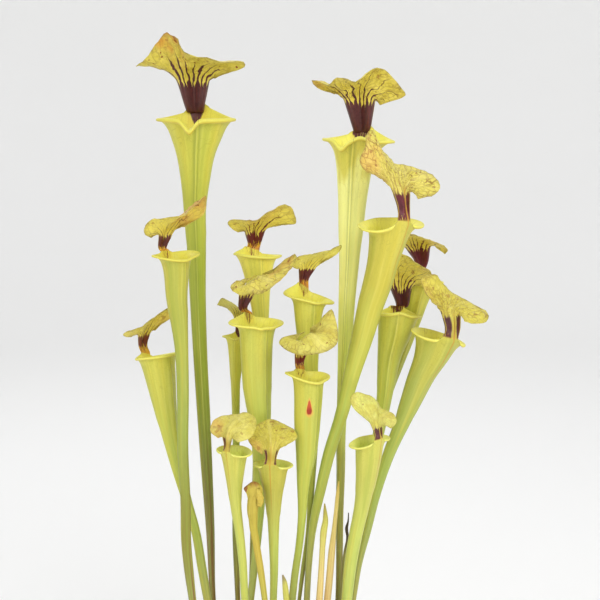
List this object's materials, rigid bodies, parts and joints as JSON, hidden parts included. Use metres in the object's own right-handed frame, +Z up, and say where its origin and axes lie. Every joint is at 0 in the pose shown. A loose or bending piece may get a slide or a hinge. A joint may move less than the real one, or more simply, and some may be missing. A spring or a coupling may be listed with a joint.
{
  "type": "yellow pitcher plant in a pot",
  "caption": "Carnivorous plant with tall yellow trumpet pitchers, each a funnel with a rolled lip under a wavy, dark-veined lid, standing in compost in a round nursery pot.",
  "frame": {"origin": "middle of the pot's underside, on the surface it stands on", "axes": "+Z up along the pot and its leaves; the picture looks along +Y with +X to its right"},
  "size_m": [0.4073, 0.23, 0.8874],
  "materials": {
    "leaf": "yellow-green pitchers with a soft sheen, maroon veins and column",
    "small_leaf": "paler yellow-green small pitchers with a soft sheen",
    "young_leaf": "orange-yellow young pitcher",
    "yellow_shoot": "yellow shoot turning orange at its tip",
    "orange_shoot": "salmon-orange shoot",
    "brown_shoot": "dry dark brown shoot",
    "small_shoot": "small yellow-green shoot",
    "compost": "moist dark peat, rough",
    "pot": "black moulded plastic, satin"
  },
  "bodies": {
    "root": {"pitcher_left_tall": "leaf", "pitcher_left_middle": "leaf", "pitcher_left_low": "leaf", "pitcher_centre_high": "leaf", "pitcher_centre_front": "leaf", "pitcher_centre_back": "leaf", "pitcher_mid_high": "leaf", "pitcher_mid_spotted": "leaf", "pitcher_right_tall": "leaf", "pitcher_right_curved": "leaf", "pitcher_right_back": "leaf", "pitcher_right_middle": "leaf", "pitcher_right_outer": "leaf", "small_pitcher_right": "small_leaf", "small_pitcher_left": "small_leaf", "small_pitcher_centre": "small_leaf", "young_pitcher_curled": "young_leaf", "shoot_yellow": "yellow_shoot", "shoot_orange": "orange_shoot", "shoot_brown": "brown_shoot", "shoot_small": "small_shoot", "compost": "compost", "pot": "pot"}
  },
  "joints": []
}
